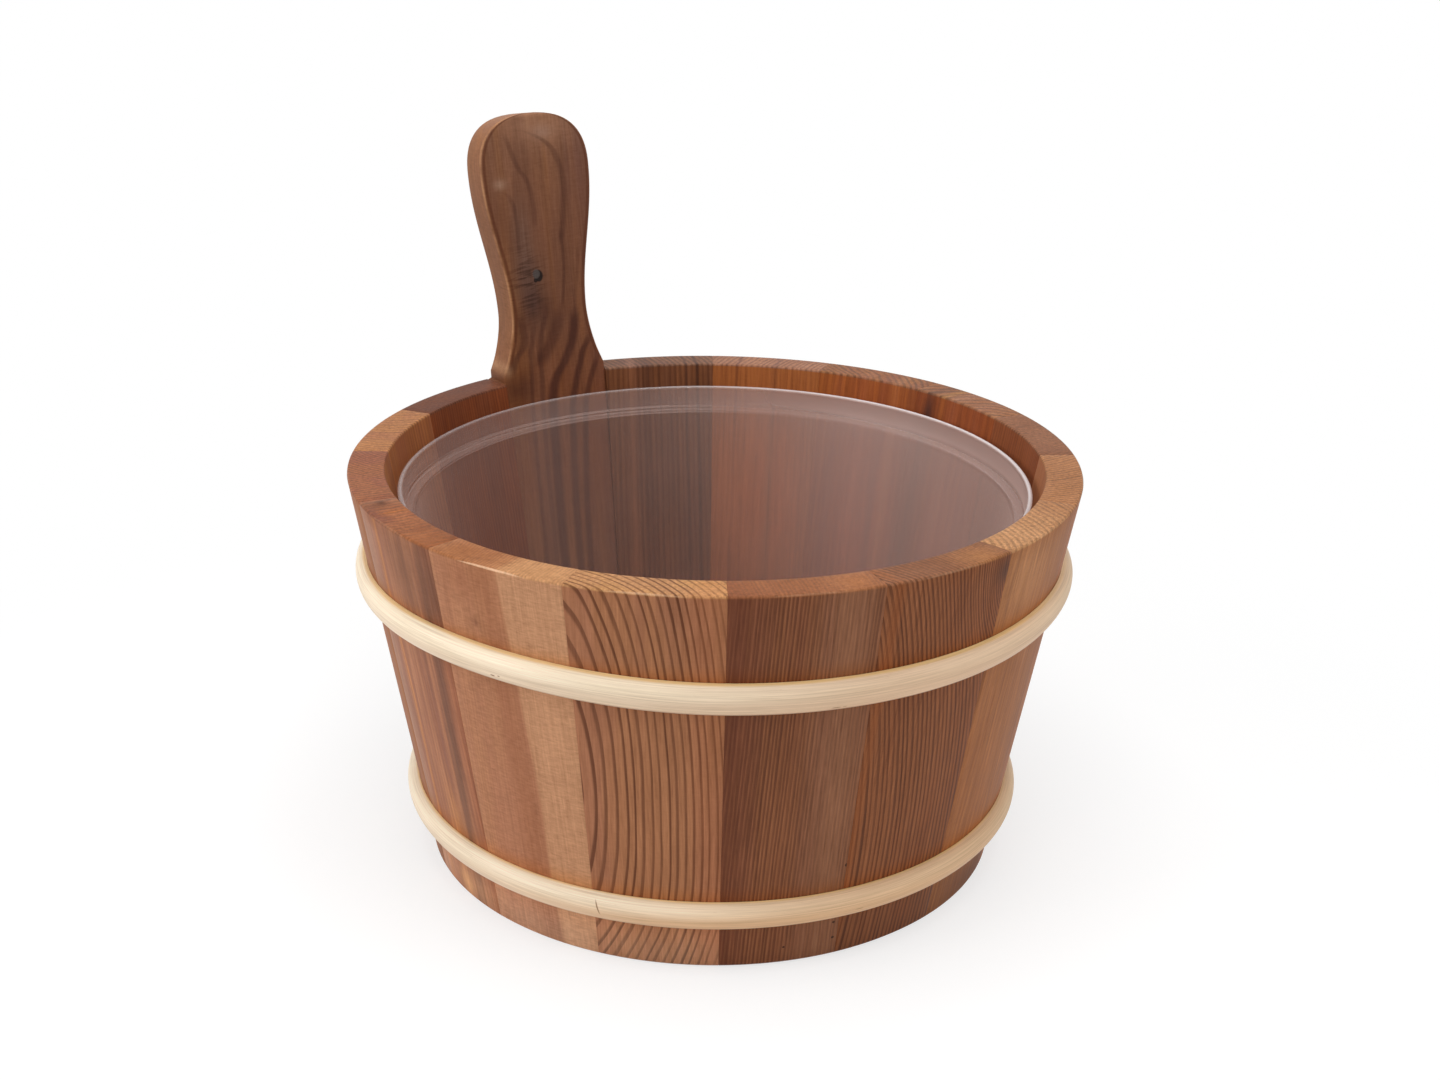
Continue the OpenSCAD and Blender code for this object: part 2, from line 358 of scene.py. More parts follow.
@dataclass
class Plank:
    """How one board was sawn and what colour it has. Lengths are millimetres.

    Places on a board are (across, height): across is measured counterclockwise from its middle. On the rim's
    end grain they are (across, depth), where depth is 0 at the outer face and negative inwards.
    """

    early: str = "b58660"  # wood between the growth lines
    late: str = "7d4a2c"  # growth lines
    flush: str = "a0603c"  # broad lengthwise streaks
    end: str = "a87048"  # end grain
    ring: float = 2.2  # from one growth line to the next, square to them
    onset: float = 0.35  # share of a year after which its wood darkens
    heart: tuple = (-60.0, -45.0)  # the tree's middle, as (across, depth) at the foot
    tilt: float = 0.0  # how far the heart leans across for each millimetre of height
    bow: tuple = (0.0, 0.0, 70.0)  # curve of the heart in and across, and the height where it is straight
    wander: float = 1.6  # slow wavering of the growth lines
    contrast: float = 0.55
    streak: float = 0.5
    streak_width: float = 14.0
    fine: float = 1.0  # strength of the fibres
    ripple: float = 0.5  # strength of the fine cross ripple left by sanding
    rim_highlight: float = 0.1  # painted highlight: a paler line along the rim's outer edge
    foot: float = 0.0  # painted light at the foot below the lower hoop, paler above 0, and painted shade below 0
    outer: tuple = (1.0, 1.0, 1.0)  # colour of the outer face against the inner one, whose colour is partly painted light thrown between the inner walls
    bands: tuple = ()  # (across, half width, softness, lean, colour, strength)
    patches: tuple = ()  # (across, height, half width, half height, colour, strength)
    ends: tuple = ()  # the same on the rim's end grain, as (across, depth, ...)
    lines: tuple = ()  # (half width, strength, places from the top down)
    spots: tuple = ()  # the same as patches, with crisp edges
    pulls: tuple = ()  # growth lines pushed aside: (across, height, half width, half height, push)
    saw: tuple = ()  # saw ripples: (across, height, half width, half height, strength)


PLANKS = {
    "handle_stave": Plank(
        early="8f5f3c", late="40211a", flush="835a45", end="9a6543", ring=7.5, onset=0.2, heart=(4, -30),
        bow=(0, 0, 145), tilt=-0.03, contrast=0.35, wander=7, streak=0.7, streak_width=9, fine=0.85,
        ripple=1.1,
        bands=((-19, 5, 5, 0, "6d4a42", 0.6),),
        patches=(
            (0, 118, 45, 46, "763f20", 0.85),
            (6.5, 176, 6, 11, "43302c", 0.8),
            (7.5, 188, 6, 8, "40302b", 0.75),
            (2, 171, 4, 6, "402218", 0.5),
            (20, 205, 6, 20, "6a4230", 0.5),
            (4, 236, 12, 7, "68422f", 0.45),
            (12, 152, 3, 5, "8a5630", 0.5),
            (0, 206, 40, 24, "714631", 0.5),
            (-6, 243, 16, 9, "a87a5e", 0.6),
            (8.5, 200, 4.5, 14, "6d5448", 0.5),
            (16, 221.6, 2.6, 2, "a9866f", 0.55),
            (-4.5, 240, 4.5, 2.6, "a07e6c", 0.5),
            (16, 142, 7, 6, "4e2a1c", 0.7),
            (21, 150.5, 2, 2.5, "b98c68", 0.7),
        ),
        spots=(
            (3.1, 185.2, 1.9, 2.3, "150d0b", 0.95),
            (4.6, 183.6, 0.9, 0.9, "150d0b", 0.9),
            (4.1, 186, 1.6, 1.8, "4f4642", 0.95),
        ),
        saw=(8.5, 183, 7, 12, 1),
        lines=(
            (1.7, 0.35, ((12.3, 241.2), (10.3, 234.6), (7.5, 227.2), (4.3, 222.1), (2.6, 213),
                         (2.6, 204.9))),
            (2, 0.4, ((5.8, 241.4), (-0.5, 239.3), (-7.5, 234.7), (-9.9, 230.5), (-11.9, 223),
                      (-10.9, 210.1), (-8.7, 198))),
            (1.1, 0.45, ((-9.3, 204), (-8.5, 199.4), (-8.7, 195.4), (-8.5, 187.8), (-7.4, 179.9),
                         (-6, 172.4))),
            (1.4, 0.35, ((19.6, 218.7), (15, 218.3), (11.7, 214.8), (10.6, 209), (10.6, 195))),
            (1.3, 0.3, ((-16.1, 196.2), (-14.3, 185.1), (-12.8, 177.2), (-11.4, 168))),
            (2.6, 0.55, ((13.9, 172), (12.4, 165.5), (12.2, 161), (13.5, 157.5), (16.7, 154),
                         (18.6, 149.9))),
            (1.5, 0.5, ((7.1, 167.6), (8.8, 160.6), (10, 155.9), (10.3, 147.8), (11.3, 137.4), (11.6, 128),
                        (12.5, 16))),
            (1.7, 0.55, ((1.3, 172.9), (2.9, 167.1), (4.6, 162.4), (5.7, 157.3), (6.2, 153.3), (6, 147.2),
                         (6.7, 136.7), (7, 128), (8, 16))),
            (4.6, 0.6, ((-5, 172), (-3.2, 166.5), (-1.2, 162), (0.8, 158.5), (3.4, 155), (5.2, 151.5))),
            (3.4, 0.8, ((-11.2, 171), (-10.3, 163.3), (-8.6, 157.4), (-6.5, 153.6), (-4.2, 149.8),
                        (-1.5, 146.5), (0.7, 142.3), (2.1, 136), (2.6, 128), (4, 16))),
            (2.5, 0.75, ((-17.7, 160.4), (-15.4, 156.4), (-13.4, 153.4), (-12, 149.5), (-10.1, 144.9),
                         (-8.6, 140.1), (-7, 134.6), (-6, 128), (-3, 16))),
            (2.1, 0.65, ((-20.4, 152.4), (-18.5, 147.4), (-16.6, 143.5), (-14.9, 139.2), (-13.1, 133.6),
                         (-12, 128), (-7.5, 16))),
        ),
    ),
    "stave_01": Plank(
        early="7d4021", late="532713", flush="6f3d26", end="6a3d28", ring=1.3, heart=(70, -30), contrast=0.5,
        outer=(1.15, 1.5, 2.2),
    ),
    "stave_02": Plank(
        early="965938", late="744429", flush="a46638", end="a26b49", ring=2, heart=(40, -20), contrast=0.5,
        outer=(1, 1.15, 1.35),
    ),
    "stave_03": Plank(
        early="a1663d", late="77482b", flush="92583e", end="915a3c", ring=1.6, heart=(-50, -50),
        contrast=0.35,
    ),
    "stave_04": Plank(
        early="af7655", late="885643", flush="945e46", end="9d623f", ring=2.4, heart=(-90, -14), foot=0.2,
        contrast=0.3, streak=0.7, streak_width=6, ripple=0.8, fine=1.1,
        bands=(
            (10, 2.2, 2.4, 0.065, "6d4939", 0.75),
            (20.5, 3, 3, 0.01, "935439", 0.5),
            (-10.5, 0.9, 1.2, 0, "c37e43", 0.55),
            (6.6, 1, 1.6, 0.012, "835444", 0.6),
            (-20, 5, 5, 0, "9e7e70", 0.4),
        ),
        patches=(
            (22.5, 131, 5, 18, "6c4532", 0.8),
            (6, 131, 10, 17, "7e533b", 0.7),
            (-14, 143, 6, 3, "884f2c", 0.6),
            (5, 33, 4, 14, "c78855", 0.6),
            (2, 6, 5, 6, "d39f6e", 0.7),
            (-14, 8, 9, 9, "be8e70", 0.6),
            (13, 6, 10, 8, "cd9a72", 0.4),
        ),
        ends=(
            (-19.8, -8.2, 2, 1.5, "2b170f", 0.9),
            (-19, -6, 3.5, 5, "673a22", 0.7),
            (-9, -1.5, 9, 2.6, "724538", 0.7),
            (18, -6, 12, 9, "9d5f36", 0.6),
        ),
    ),
    "stave_05": Plank(
        early="b37b58", late="9b6545", flush="a96f54", end="a9734d", ring=1.2, heart=(-95, 8), foot=0.33,
        contrast=0.25, ripple=1.9, fine=0.7, rim_highlight=0.75,
        bands=((26.2, 18, 0.9, -0.035, "c5916b", 0.85), (3, 4.5, 4, -0.035, "9b603f", 0.4)),
        patches=(
            (-8.6, 123.3, 1.2, 1.6, "6e412e", 0.6),
            (-12, 138, 9, 8, "9b5d3d", 0.4),
            (0, 4, 40, 11, "9c8a78", 0.3),
        ),
        ends=((16, -6, 13, 9, "bb895d", 0.7), (-16, -6, 14, 9, "925931", 0.7)),
    ),
    "stave_06": Plank(
        early="aa724e", late="5c301b", flush="a36b51", end="b78556", ring=2.3, onset=0.55, heart=(-48.5, 33),
        bow=(-0.00183, 0, 68), foot=0.4, contrast=0.95, wander=1, ripple=0.5, rim_highlight=0.3,
        bands=((20, 6, 5, 0, "b5714a", 0.35),),
        patches=((0, 4, 40, 11, "93806c", 0.25),),
        pulls=((-5, -6, 40, 20, 5),),
    ),
    "stave_07": Plank(
        early="8f5939", late="663a25", flush="88523a", end="995f3c", ring=1.3, onset=0.2, heart=(-150, -6),
        tilt=0.035, foot=0.1, contrast=0.85, wander=0.8, ripple=0.3, fine=1.3, streak_width=10,
        bands=((-22, 6, 6, 0, "653422", 0.6), (14, 9, 8, 0, "a07256", 0.4)),
        # Pin holes, drawn as dark dots: painted shade inside each small hole
        spots=(
            (21.3, 38.2, 0.75, 0.75, "22140d", 0.8),
            (18.6, 14.4, 0.5, 0.5, "22140d", 0.8),
            (18.8, 7.75, 0.55, 0.55, "22140d", 0.8),
            (1.4, 7.04, 0.45, 0.45, "22140d", 0.8),
        ),
        ends=((0, -6, 40, 20, "935c38", 0.6), (16, -6, 6, 6, "a86a3c", 0.5)),
    ),
    "stave_08": Plank(
        early="945b39", late="492413", flush="8b502f", end="8e5d40", ring=1.8, onset=0.35, heart=(-95, 12),
        bow=(0, 0.0014, 30), foot=-0.07, contrast=0.75, wander=1.2, fine=1.2,
        bands=((-21.5, 1.6, 1.5, 0, "9b582f", 0.5),),
        patches=((24, 139, 5, 5, "533428", 0.7),),
        pulls=((29, 138, 16, 22, 15),),
        ends=((14, -5, 12, 8, "aa7243", 0.6), (-8, -6, 12, 9, "7b5036", 0.6)),
    ),
    "stave_09": Plank(
        early="a86c42", late="8b5531", flush="a5653a", end="ab7951", ring=2.2, heart=(-70, -60), foot=-0.15,
        contrast=0.35, fine=1.4,
        bands=((18, 8, 6, 0, "8a5636", 0.35),),
        patches=((-12, 134, 22, 16, "c48b5d", 0.55), (8, 5, 20, 9, "6c3812", 0.7)),
    ),
    "stave_10": Plank(
        early="aa6e4b", late="8c5735", flush="9d623d", end="a26f4a", ring=1.8, heart=(60, -50), contrast=0.3,
    ),
    "stave_11": Plank(
        early="8c4e2e", late="66381f", flush="804529", end="8b5c41", ring=1.6, heart=(-60, -40),
        contrast=0.45, outer=(1.05, 1.35, 1.9),
    ),
    "stave_12": Plank(
        early="8f4a25", late="5e2e1a", flush="89421f", end="906142", ring=3.8, heart=(-40, -36),
        contrast=0.35, wander=4, streak_width=8, outer=(1.05, 1.35, 1.7),
        bands=((9, 1.5, 1.5, 0, "a05a28", 0.5),),
        patches=(
            (15.3, 136, 2.5, 8, "3a1f1b", 0.85),
            (-6, 92, 14, 36, "bc6840", 0.8),
            (16, 92, 5, 40, "5a3428", 0.6),
            (2.9, 92, 3, 40, "c87a5a", 0.5),
            (-11, 92, 3, 40, "8a5244", 0.4),
        ),
    ),
    "stave_13": Plank(
        early="934f24", late="6c3819", flush="a05925", end="885a3d", ring=2.4, heart=(50, -60),
        contrast=0.35, wander=3, streak_width=7, outer=(1, 1.3, 1.7),
        patches=(
            (-4, 92, 22, 38, "b2522a", 0.85),
            (13.5, 92, 2.5, 45, "8a4c38", 0.5),
            (2, 92, 3, 45, "c87048", 0.4),
            (-6.8, 92, 2, 45, "84483a", 0.5),
            (-12.1, 92, 2.2, 45, "d88a50", 0.5),
            (-20.5, 92, 3, 45, "5c362c", 0.5),
        ),
    ),
    "stave_14": Plank(
        early="96572c", late="723f24", flush="a05f30", end="946850", ring=2, heart=(-80, -30), contrast=0.35,
        outer=(1, 1.25, 1.7),
        bands=((11.8, 0.5, 0.8, 0, "5a2f1c", 0.6), (-3.8, 0.5, 0.8, 0, "5e321e", 0.5)),
        patches=((-4, 92, 24, 38, "c36c38", 0.8), (-3.1, 92, 2, 45, "96603e", 0.5)),
    ),
    "stave_15": Plank(
        early="77482c", late="4b2a18", flush="664032", end="7e5843", ring=2.2, heart=(90, -30), contrast=0.6,
        bands=(
            (11.5, 1.6, 1.2, 0, "8f5a3c", 0.6),
            (5, 1.8, 1.5, 0, "5a3626", 0.5),
            (-11.1, 0.5, 0.5, 0, "3a2018", 0.6),
            (-15.8, 0.7, 0.5, 0, "3a2018", 0.6),
        ),
    ),
    "bottom_board_left": Plank(early="b07a54", late="8a5836", flush="a06a44", ring=2.4, heart=(30, -60)),
    "bottom_board_middle": Plank(early="ba855c", late="915f3a", flush="a87450", ring=1.8, heart=(-40, -40)),
    "bottom_board_right": Plank(early="a8724e", late="7e4e30", flush="9a6240", ring=2, heart=(10, -70)),
}


def growth(plank, seed, across, depth, along, g):
    """How dark the growth line is at a point, from 0 to 1, and the slow noise that bends it, about 0.

    Growth rings are cylinders about the tree's heart, a line beside the board that leans and bows. So the
    same rings run as long grain on the faces and as arcs on the end.
    """
    rise = along - plank.bow[2]
    curve = rise * rise
    du = across - plank.heart[0] - along * plank.tilt + curve * plank.bow[1]
    dv = depth - plank.heart[1] + curve * plank.bow[0]
    for u, v, wide, tall, push in plank.pulls:
        du = du + g.near(across, along, (u, v), (wide, tall)) * push
    slow = g.noise(across * 0.045 + seed, depth * 0.045, along * 0.012, 2.0) - 0.5
    years = (g.math("SQRT", du * du + dv * dv) + slow * (2 * plank.wander)) / plank.ring
    years = years + (g.noise(years * 0.55 + seed, 0.0, 0.0, 1.0) - 0.5) * 0.9
    year = g.math("FRACT", years)
    count = g.math("FLOOR", years)
    strong = g.node("ShaderNodeTexWhiteNoise", {"noise_dimensions": "1D"}, {"W": count + seed}, "Value")
    late = g.step(year, plank.onset, 0.5 + plank.onset / 2) * g.step(year, 1.0, 0.93) * (0.6 + strong * 0.4)
    return late, slow


def inner_half(depth, g):
    """1 in the inner half of a board's thickness, where the handle's drawn marks are."""
    return g.step(depth, -5.0, -8.0)


def outer_half(depth, g):
    """1 in the outer half of a board's thickness."""
    return g.step(depth, -6.0, -5.0)


def marked(plank, color, across, depth, along, slow, g):
    """Lay the board's own bands, patches, drawn lines and spots over its colour.

    A drawn line is dark in its middle, with a faint flush beside it where across is greater.
    """
    for place, width, soft, lean_out, code, strength in plank.bands:
        off = across - along * lean_out - place + slow * 4.0
        side = g.step(abs(off), width + soft, max(width - soft, 0.0))
        color = g.mix(side * strength, color, srgb(code))
    for u, v, wide, tall, code, strength in plank.patches:
        color = g.mix(g.near(across, along, (u, v), (wide, tall)) * strength, color, srgb(code))
    inside = inner_half(depth, g)
    for width, strength, places in plank.lines:
        off = across - g.route(along, places) + slow * 1.5
        high, low = places[0][1], places[-1][1]
        ends = g.step(along, low - 3.0, low + 2.0) * g.step(along, high + 2.0, high - 6.0) * inside
        flank = g.step(off, 4.0 * width, width) * g.step(off, 0.0, width) * ends * (0.25 * strength)
        color = g.mix(flank, color, srgb(plank.flush))
        color = g.mix(g.step(abs(off), width, 0.25 * width) * ends * strength, color, srgb(plank.late))
    for u, v, wide, tall, code, strength in plank.spots:
        disc = g.step(g.near(across, along, (u, v), (wide, tall)), 0.25, 0.5)
        if plank.lines:
            disc = disc * inside
        color = g.mix(disc * strength, color, srgb(code))
    return color


def end_grain(plank, color, late, across, depth, along, g):
    """Turn the colour into that of the rim's end grain, and paint a pale highlight along the rim's outer
    edge.
    """
    top = sizes().height / MM
    ratio = tuple(a / b for a, b in zip(srgb(plank.end), srgb(plank.early)))
    on_end = g.step(along, top - 1.1, top - 0.4)
    end = g.mix(1.0, color, ratio, "MULTIPLY")
    pores = g.noise(across * 0.8, depth * 0.8, 7.0, 3.0, 0.75) - 0.5
    end = g.tone(end, 1.0 + pores * 1.3 - (late - 0.35) * (0.5 - 0.5 * plank.contrast))
    for u, v, wide, deep, code, strength in plank.ends:
        end = g.mix(g.near(across, depth, (u, v), (wide, deep)) * strength, end, srgb(code))
    color = g.mix(on_end, color, end)
    # Painted highlight: a pale line along the rim's outer rounded edge, where it catches the light
    corner = g.step(along, top - 0.75, top - 0.4) * g.step(depth, -0.95, -0.55)
    return g.mix(corner * plank.rim_highlight, color, srgb("e6bb98"))


def edge_tones_and_highlight(color, edge, along, g):
    """The handle's edges: paler sides, a painted highlight along each corner and a dark line beside it."""
    rim = sizes().height / MM
    free = g.step(along, rim + 3.0, rim + 9.0)
    color = g.mix(g.step(edge, -0.4, -1.2) * free * 0.4, color, srgb("98684a"))
    # Painted highlight: a broken bright line along each corner, where the light catches it
    patchy = g.noise(along * 0.08, 3.0, 0.0, 2.0)
    corner_highlight = g.step(abs(edge + 0.3), 0.8, 0.2) * free * g.step(patchy, 0.3, 0.6)
    color = g.mix(corner_highlight * 0.65, color, srgb("b98760"))
    return g.mix(g.step(abs(edge - 1.2), 1.0, 0.2) * free * 0.6, color, srgb("542814"))


def grain(name, plank, across, depth, along, g, rim=False, edge=None):
    """Wood in terms of its own axes, each a Value in millimetres."""
    seed = 17.0 * (list(PLANKS).index(name) + 1)
    late, slow = growth(plank, seed, across, depth, along, g)
    fibre = g.noise(across * 2.0, depth * 2.0, along * 0.12 + seed, 3.0, 0.65) - 0.5
    thread = g.noise(across * 0.8 + seed, depth * 0.8, along * 0.025, 3.0, 0.6) - 0.5
    blotch = g.noise(across * 0.05, depth * 0.05, along * 0.03 + 3 * seed, 3.0) - 0.5
    sand = g.noise(across * 0.30, depth * 0.30, along * 1.3 + seed, 3.0, 0.65) - 0.5
    lane = 1.0 / plank.streak_width
    broad = g.noise(across * lane + 2 * seed, depth * lane, along * 0.008, 2.0)
    color = g.mix(g.step(broad, 0.42, 0.62) * plank.streak, srgb(plank.early), srgb(plank.flush))
    color = g.mix(late * (plank.contrast * finish().ring_contrast), color, srgb(plank.late))
    color = marked(plank, color, across, depth, along, slow, g)
    if edge:
        color = edge_tones_and_highlight(color, edge, along, g)
    if rim:
        color = end_grain(plank, color, late, across, depth, along, g)
        outside = outer_half(depth, g)
        # Painted bounce light: the wood is tinted orange just above each hoop, for the light the cane throws
        # back on it
        for hoop_at in (sizes().height - UPPER_DROP, LOWER_AT):
            hoop_top = (hoop_at + sizes().hoop_height / 2) / MM
            warm = g.step(along, hoop_top + 7.0, hoop_top) * g.step(along, hoop_top - 3.0, hoop_top - 2.0)
            bounce_tinted = g.mix(1.0, color, (1.05, 0.88, 0.62), "MULTIPLY")
            color = g.mix(warm * outside * 0.7, color, bounce_tinted)
        # Painted light and shade at the foot: paler below the lower hoop where plank.foot is above 0, darker
        # where it is below 0
        color = g.tone(color, 1.0 + g.step(along, 24.0, 12.0) * outside * plank.foot)
        # The inner face keeps its deeper orange, partly painted light thrown between the inner walls; the
        # outer face is taken back from it
        if plank.outer != (1.0, 1.0, 1.0):
            faced = g.mix(1.0, color, plank.outer, "MULTIPLY")
            color = g.mix(g.step(depth, -1.6, -0.6), color, faced)
    gain = 1.0 + (fibre * 0.75 + thread * 0.75) * plank.fine + blotch * 0.4 + sand * (0.42 * plank.ripple)
    if plank.saw:
        u, v, wide, tall, strength = plank.saw
        teeth = g.noise(across * 0.11, depth * 0.1, along * 1.15 + across * 0.14, 2.0)
        cut = (g.step(teeth, 0.53, 0.4) - 0.45) * inner_half(depth, g)
        gain = gain - cut * g.near(across, along, (u, v), (wide, tall)) * (0.7 * strength)
    # Darker wood is also redder, so red follows the gain less than blue does
    color = g.mix(1.0, color, g.vector(gain**0.85, gain, gain**1.15), "MULTIPLY")
    height = fibre * 0.6 + thread * 0.5 + sand * (0.6 * plank.ripple) - late * 0.2
    return g.surface(
        Base_Color=color,
        Roughness=0.58 + fibre * 0.3 - late * 0.06,
        Specular_IOR_Level=0.13,
        Normal=g.bump(height, finish().grain_relief),
    )


def stave_wood(name, turn):
    """Wood of an upright board: across runs round the pail, depth in from its outer face, along upwards."""
    g = Graph(name + "_wood")
    x, y, z = g.place()
    c, s = math.cos(math.radians(turn)), math.sin(math.radians(turn))
    slope = (sizes().rim_radius - sizes().foot_radius) / sizes().height
    across = y * c - x * s
    depth = x * c + y * s - z * slope - sizes().foot_radius / MM
    if name != "handle_stave":
        return grain(name, PLANKS[name], across, depth, z, g, rim=True)
    # Distance from the inner face's edges, in millimetres: above 0 on the face and below 0 on the sides
    return grain(name, PLANKS[name], across, depth, z, g, edge=g.mapped("section")[0])


def bottom_wood(name):
    """Wood of a bottom board: its grain runs along Y."""
    g = Graph(name + "_wood")
    x, y, z = g.place()
    return grain(name, PLANKS[name], x, z, y, g)


CANE_MARKS = {
    # Pits, a scratch and a stain, as (direction in degrees, place round the section, half length,
    # half width, slant, colour, strength)
    "upper_hoop": (
        (203.5, 6.4, 0.9, 0.35, 0.0, "8a5a34", 0.9),
        (204.6, 6.8, 0.5, 0.3, 0.0, "9a6a40", 0.8),
        (253.4, 5.2, 1.6, 0.25, 0.0, "8f6238", 0.9),
        (254.6, 5.3, 0.8, 0.25, 0.0, "a07448", 0.7),
    ),
    "lower_hoop": (
        (217.0, 9.6, 0.28, 2.6, 0.35, "9a6a3c", 0.85),
        (300.8, 5.0, 1.6, 0.8, 0.0, "b07838", 0.7),
        (262.0, 7.0, 1.5, 0.25, 0.0, "a87c48", 0.6),
    ),
}


def cane_skin(hoop, height):
    """Peeled cane. It reads the hoop's own UV map: u runs along the cane, and v up round its section."""
    g = Graph(hoop + "_cane")
    u, v = g.mapped("cane")
    radius = wall(height) / MM

    def between(start, end):
        """0 before one direction round the pail, 1 after another, in degrees."""
        return g.step(u, radius * math.radians(start), radius * math.radians(end))

    hair = g.noise(u * 0.03, v * 2.4, 0.0, 4.0, 0.7) - 0.5
    reed = g.noise(u * 0.012, v * 1.1, 4.0, 3.0, 0.6) - 0.5
    cloud = g.noise(u * 0.03, v * 0.12, 9.0, 2.0) - 0.5
    fleck = g.noise(u * 0.35, v * 3.5, 2.0, 2.0)
    # The cane is paler along one stretch, and golden along its upper edge
    if hoop == "upper_hoop":
        color = g.mix(between(268, 206), finish().cane_color, finish().cane_pale_color)
    else:
        color = g.mix(between(240, 185), finish().cane_warm_color, finish().cane_pale_color)
    tan = between(280, 318)
    color = g.mix(tan * 0.45, color, srgb("c9a068"))
    # Painted light: the cane's upper side is made lighter, most of all along the pale stretch
    color = g.mix(g.step(v, 7.0, 12.0) * (0.2 + between(268, 206) * 0.8), color, finish().cane_lit_top_color)
    golden_edge = g.step(v + cloud * 1.2, 14.4, 15.4)
    color = g.mix(golden_edge * (0.85 - tan * 0.5), color, finish().cane_edge_color)
    # Painted shade along the cane's lower edge, where its underside turns away from the light
    color = g.mix(g.step(v + cloud, 5.4, 2.6) * 0.75, color, srgb("94684c"))
    gain = 1.0 + hair * 0.85 + reed * 0.5 + cloud * 0.22
    color = g.mix(1.0, color, g.vector(gain**0.85, gain, gain**1.2), "MULTIPLY")
    color = g.mix(g.step(fleck, 0.68, 0.78) * 0.3, color, srgb("b98d58"))
    for turn, place, long, wide, slant, code, strength in CANE_MARKS[hoop]:
        along = u - radius * math.radians(turn)
        spot = g.near(along + (v - place) * slant, v, (0.0, place), (long, wide))
        color = g.mix(g.step(spot, 0.2, 0.7) * strength, color, srgb(code))
    return g.surface(
        Base_Color=color,
        Roughness=0.45 + hair * 0.3,
        Specular_IOR_Level=0.4,
        Normal=g.bump(hair * 0.8 + reed * 0.8, 0.08 * MM),
    )


def liner_plastic():
    """Thin milky plastic: a haze over what lies behind, thicker where the wall is seen edge on.

    It is cloudier above the ledge, and whitest along the lip. Towards +X the haze, the collar and the lip
    are painted whiter, as painted light where the left lamp lights that side of the wall, and the lip's
    extra white there is a painted highlight.
    """
    g = Graph("milky_plastic")
    x, y, z = g.place()
    edge_on = g.node("ShaderNodeLayerWeight", None, {"Blend": 0.5}, "Facing")
    cloud = g.noise(x * 0.02, y * 0.02, z * 0.02, 2.0) - 0.5
    top = (sizes().height - LINER_DROP) / MM
    lip = g.step(z, top - 0.6, top - 0.15)
    lit_side = g.step(x, 20.0, 115.0)
    collar = g.step(z, top - 9.0, top - 7.0)
    ledge = g.step(abs(z - (top - 8.6)), 2.2, 1.0)
    # Painted light: more haze towards +X, where the left lamp lights that side of the wall
    haze = finish().liner_haze * (1.0 + cloud * 0.8) + lit_side * 0.18 + g.step(x, 60.0, 118.0) * 0.1
    haze = haze + collar * (lit_side * 0.16 + 0.05) + lip * (lit_side * 0.12 + 0.1)
    thin = g.math("MAXIMUM", ledge * 0.85, g.step(z, top - 2.0, top - 1.6) * 0.6)
    haze = haze * (1.0 - ledge * 0.15) + edge_on**4.0 * (0.6 - thin * 0.6)
    # Two hair lines catch the light along the ledge
    hairs = [g.step(abs(z - (top - low)), 0.45, 0.1) for low in (8.0, 9.5)]
    haze = haze + (hairs[0] + hairs[1]) * g.step(x, 100.0, 20.0) * 0.26
    return g.surface(
        Base_Color=g.mix(lip, finish().liner_color, finish().lip_color),
        Roughness=0.22,
        Specular_IOR_Level=0.5,
        IOR=1.49,
        Alpha=haze,
    )


def brad_steel():
    """Plain wire, a little dulled."""
    g = Graph("brad_steel")
    x, y, z = g.place()
    dull = g.noise(x * 2.0, y * 2.0, z * 2.0, 2.0)
    return g.surface(
        Base_Color=g.tone(finish().brad_color, 0.8 + dull * 0.3),
        Metallic=1.0,
        Roughness=0.3 + dull * 0.3,
    )


# Meshes


def add_piece(name, points, faces, material, node, sharp=35.0, uv=None, uv_name="cane"):
    """Put points and faces into a smooth mesh that rides on the pail and stands for a node of the frame.

    Edges sharper than sharp, in degrees, stay crisp. uv holds one place for each point, in metres.
    """
    mesh = bpy.data.meshes.new(name)
    mesh.from_pydata(points.reshape(-1, 3).tolist(), [], faces)
    if mesh.validate():
        raise RuntimeError(f"{name}: the mesh had faces that Blender had to drop")
    mesh.polygons.foreach_set("use_smooth", np.ones(len(mesh.polygons), bool))
    mesh.set_sharp_from_angle(angle=math.radians(sharp))
    if uv is not None:
        corner = np.zeros(len(mesh.loops), np.int32)
        mesh.loops.foreach_get("vertex_index", corner)
        layer = mesh.uv_layers.new(name=uv_name)
        layer.data.foreach_set("uv", uv.reshape(-1, 2)[corner].astype(np.float32).ravel())
    mesh.materials.append(material)
    piece = bpy.data.objects.new(name, mesh)
    bpy.context.scene.collection.objects.link(piece)
    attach(piece, "root")
    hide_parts(node)
    next(s["material_slot"] for s in frame["record"]["subparts"] if s["node"] == node)


def skin(rows, columns):
    """Quads over a grid of rows by columns of points, with each row closed into a loop."""
    row, column = np.meshgrid(np.arange(rows - 1), np.arange(columns), indexing="ij")
    after = (column + 1) % columns
    corners = (row, column), (row, after), (row + 1, after), (row + 1, column)
    return np.stack([r * columns + c for r, c in corners], -1).reshape(-1, 4)


def arc(center, radius, start, end, count=7):
    """Points of an arc, with angles in degrees."""
    a = np.radians(np.linspace(start, end, count))
    return np.stack([center[0] + radius * np.cos(a), center[1] + radius * np.sin(a)], 1)


def wall(z):
    """Outer radius of the leaning wall at a height."""
    s = sizes()
    return s.foot_radius + (s.rim_radius - s.foot_radius) / s.height * z


def lean():
    """The staves' lean from upright, in radians."""
    s = sizes()
    return math.atan((s.rim_radius - s.foot_radius) / s.height)


